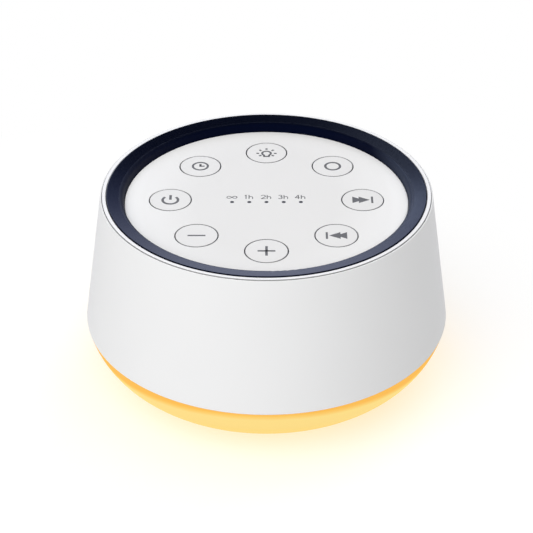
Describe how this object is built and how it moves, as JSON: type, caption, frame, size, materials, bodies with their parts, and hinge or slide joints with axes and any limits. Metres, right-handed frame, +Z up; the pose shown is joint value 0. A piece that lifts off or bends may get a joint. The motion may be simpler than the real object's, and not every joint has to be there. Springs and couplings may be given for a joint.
{
  "type": "white noise sound machine",
  "caption": "Round bedside sound machine with push keys in a sunk top panel, a down-firing speaker and a night light in its translucent bowl.",
  "frame": {"origin": "on the table, under the middle of the four feet", "axes": "+Z up through the middle of the key panel, -Y towards the front, where the volume-up key is, +X to the right as seen from the front"},
  "size_m": [0.1106, 0.1104, 0.0618],
  "materials": {
    "white_plastic": "fine satin",
    "panel_white": "satin",
    "key_white": "satin",
    "navy_plastic": "soft gloss",
    "diffuser": "translucent, lit warm amber",
    "reflector_white": "matte",
    "clear_plastic": "polished",
    "foot_rubber": "matte",
    "black_rubber": "matte",
    "screw_steel": "zinc plated",
    "plate_steel": "zinc plated",
    "black_steel": "satin black",
    "socket_steel": "satin",
    "ferrite": "matte",
    "foam": "matte",
    "spider_cloth": "varnished cloth",
    "paper": "matte paper",
    "tag_board": "matte",
    "copper": "enamelled wire",
    "board_green": "solder mask",
    "board_white": "white solder mask",
    "black_plastic": "matte",
    "plunger_plastic": "satin",
    "connector_white": "satin",
    "led_body": "satin",
    "can_aluminium": "satin",
    "wire_black": "satin",
    "wire_white": "satin",
    "ribbon_grey": "satin"
  },
  "bodies": {
    "case": {"outer_shell": "white_plastic", "top_cover": "white_plastic", "base_cover": "white_plastic", "key_panel": "panel_white", "trim_ring": "navy_plastic", "diffuser_bowl": "diffuser", "reflector_tub": "reflector_white", "chamber_lid": "reflector_white", "light_pipe": "clear_plastic", "feet": "foot_rubber", "base_screws": "screw_steel", "lid_screws": "screw_steel", "case_screws": "screw_steel", "speaker_screws": "screw_steel", "board_screws": "screw_steel", "speaker_basket": "black_steel", "speaker_front_plate": "plate_steel", "speaker_yoke": "plate_steel", "speaker_magnet": "ferrite", "speaker_gasket": "foam", "speaker_spider": "spider_cloth", "speaker_surround": "black_rubber", "speaker_terminal": "tag_board", "key_board": "board_green", "main_board": "board_green", "light_board": "board_white", "switch_bodies": "black_plastic", "controller_chip": "black_plastic", "amplifier_chip": "black_plastic", "memory_chip": "black_plastic", "power_coil": "black_plastic", "power_socket_tongue": "black_plastic", "connectors": "connector_white", "night_leds": "led_body", "indicator_leds": "led_body", "capacitors": "can_aluminium", "power_socket_shell": "socket_steel", "speaker_leads": "wire_black", "light_leads": "wire_white", "ribbon_cable": "ribbon_grey"},
    "light_key": {"key_light": "key_white", "plunger_light": "plunger_plastic"},
    "timer_key": {"key_timer": "key_white", "plunger_timer": "plunger_plastic"},
    "power_key": {"key_power": "key_white", "plunger_power": "plunger_plastic"},
    "volume_down_key": {"key_volume_down": "key_white", "plunger_volume_down": "plunger_plastic"},
    "volume_up_key": {"key_volume_up": "key_white", "plunger_volume_up": "plunger_plastic"},
    "previous_key": {"key_previous": "key_white", "plunger_previous": "plunger_plastic"},
    "next_key": {"key_next": "key_white", "plunger_next": "plunger_plastic"},
    "colour_key": {"key_colour": "key_white", "plunger_colour": "plunger_plastic"},
    "cone": {"speaker_cone": "paper", "speaker_dust_cap": "paper", "voice_coil": "copper"}
  },
  "joints": [
    {"name": "press_light", "type": "slide", "parent": "case", "child": "light_key", "axis": [0, 0, -1], "range_m": [0, 0.00035], "stiffness_N_per_m": 1000, "springref_m": -0.0004},
    {"name": "press_timer", "type": "slide", "parent": "case", "child": "timer_key", "axis": [0, 0, -1], "range_m": [0, 0.00035], "stiffness_N_per_m": 1000, "springref_m": -0.0004},
    {"name": "press_power", "type": "slide", "parent": "case", "child": "power_key", "axis": [0, 0, -1], "range_m": [0, 0.00035], "stiffness_N_per_m": 1000, "springref_m": -0.0004},
    {"name": "press_volume_down", "type": "slide", "parent": "case", "child": "volume_down_key", "axis": [0, 0, -1], "range_m": [0, 0.00035], "stiffness_N_per_m": 1000, "springref_m": -0.0004},
    {"name": "press_volume_up", "type": "slide", "parent": "case", "child": "volume_up_key", "axis": [0, 0, -1], "range_m": [0, 0.00035], "stiffness_N_per_m": 1000, "springref_m": -0.0004},
    {"name": "press_previous", "type": "slide", "parent": "case", "child": "previous_key", "axis": [0, 0, -1], "range_m": [0, 0.00035], "stiffness_N_per_m": 1000, "springref_m": -0.0004},
    {"name": "press_next", "type": "slide", "parent": "case", "child": "next_key", "axis": [0, 0, -1], "range_m": [0, 0.00035], "stiffness_N_per_m": 1000, "springref_m": -0.0004},
    {"name": "press_colour", "type": "slide", "parent": "case", "child": "colour_key", "axis": [0, 0, -1], "range_m": [0, 0.00035], "stiffness_N_per_m": 1000, "springref_m": -0.0004},
    {"name": "cone_travel", "type": "slide", "parent": "case", "child": "cone", "axis": [0, 0, 1], "range_m": [-0.0005, 0.0005], "stiffness_N_per_m": 1200, "deforming": ["speaker_surround", "speaker_spider"]}
  ]
}
